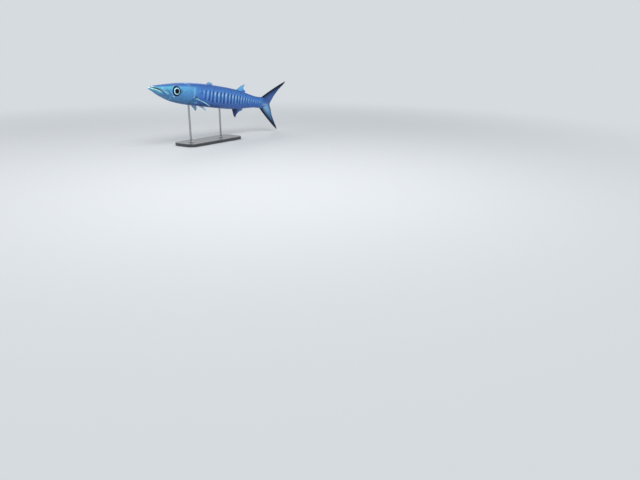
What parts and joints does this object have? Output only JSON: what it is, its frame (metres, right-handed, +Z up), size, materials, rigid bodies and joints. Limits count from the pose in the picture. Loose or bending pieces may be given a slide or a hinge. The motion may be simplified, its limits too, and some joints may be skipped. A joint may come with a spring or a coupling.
{
  "type": "barracuda",
  "caption": "Life-size still model of a chevron-barred blackfin barracuda, gently bent as if swimming, held over a flat base by short rods.",
  "frame": {"origin": "centre of the stand base's flat underside", "axes": "+Z up, the head points to -X and the tail to +X, the fish's left side faces -Y"},
  "size_m": [1.0214, 0.15, 0.3232],
  "materials": {
    "scaled_skin": "silvery scaled skin with dark bars, wet sheen",
    "eye": "clear glossy cornea over a silver iris and a black pupil",
    "dark_fin": "dusky rayed membrane, satin",
    "pale_fin": "pale rayed membrane, satin",
    "stand_base": "dark satin lacquer",
    "stand_rod": "satin"
  },
  "bodies": {
    "root": {"head": "scaled_skin", "lower_jaw": "scaled_skin", "gill_cover_left": "scaled_skin", "gill_cover_right": "scaled_skin", "torso": "scaled_skin", "tail": "scaled_skin", "tail_stalk": "scaled_skin", "eye_left": "eye", "eye_right": "eye", "fin_dorsal_first": "pale_fin", "fin_dorsal_second": "pale_fin", "fin_anal": "dark_fin", "fin_caudal_upper": "dark_fin", "fin_caudal_lower": "dark_fin", "fin_pectoral_left": "pale_fin", "fin_pectoral_right": "pale_fin", "fin_pelvic_left": "pale_fin", "fin_pelvic_right": "pale_fin", "stand_base": "stand_base", "stand_rod_front": "stand_rod", "stand_rod_rear": "stand_rod"}
  },
  "joints": []
}
